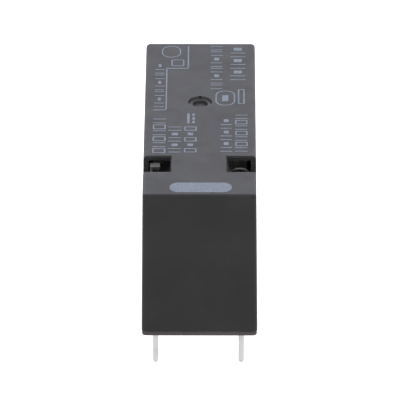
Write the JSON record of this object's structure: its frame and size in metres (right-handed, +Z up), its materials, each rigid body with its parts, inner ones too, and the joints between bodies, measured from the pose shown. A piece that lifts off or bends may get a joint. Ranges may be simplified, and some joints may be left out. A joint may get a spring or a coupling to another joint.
{
  "type": "pcb power relay",
  "caption": "Slim upright box relay for a printed board: black moulded cover over a coil, armature, sliding card and changeover contact, on thin solder pins.",
  "frame": {"origin": "under the middle of the case, level with the tips of the solder pins", "axes": "+Z up out of the roof, +Y along the case from the coil end to the contact end, +X across the case"},
  "size_m": [0.01, 0.0284, 0.0178],
  "materials": {
    "case_plastic": "fine moulded texture, satin black",
    "base_plastic": "moulded, matt brownish black",
    "bobbin_plastic": "moulded black",
    "card_plastic": "moulded natural",
    "coil_tape": "black insulating tape",
    "copper_wire": "enamelled copper wire",
    "soft_steel": "plated soft iron",
    "tinned_metal": "tin plated strip",
    "spring_bronze": "spring bronze strip",
    "contact_silver": "silver alloy, satin"
  },
  "bodies": {
    "relay_body": {"case": "case_plastic", "base": "base_plastic", "bobbin": "bobbin_plastic", "coil_winding": "copper_wire", "coil_tape": "coil_tape", "core": "soft_steel", "yoke": "soft_steel", "hinge_spring": "spring_bronze", "coil_terminal_left": "tinned_metal", "coil_terminal_right": "tinned_metal", "coil_lead_left": "copper_wire", "coil_lead_right": "copper_wire", "no_terminal": "tinned_metal", "nc_terminal": "tinned_metal", "common_terminal": "tinned_metal", "no_contact": "contact_silver", "nc_contact": "contact_silver", "blade_rivet_left": "soft_steel", "blade_rivet_right": "soft_steel"},
    "armature": {"armature": "soft_steel"},
    "card": {"card": "card_plastic"},
    "contact_blade": {"moving_blade": "spring_bronze", "moving_contact": "contact_silver"}
  },
  "joints": [
    {"name": "armature_pivot", "type": "hinge", "parent": "relay_body", "child": "armature", "pos_m": [0, 0.00102, 0.00686], "axis": [1, 0, 0], "range_deg": [0, 4], "stiffness_Nm_per_rad": 0.0002, "springref_deg": -5.73},
    {"name": "card_slide", "type": "slide", "parent": "relay_body", "child": "card", "axis": [0, -1, 0], "range_m": [0, 0.000574]},
    {"name": "blade_flex", "type": "hinge", "parent": "relay_body", "child": "contact_blade", "pos_m": [0, 0.00751, 0.00736], "axis": [1, 0, 0], "range_deg": [0, 4.15]}
  ],
  "couplings": [
    {"joint": "card_slide", "follows": "armature_pivot", "m_per_rad": 0.0082183},
    {"joint": "blade_flex", "follows": "armature_pivot", "ratio": 1.0353}
  ]
}
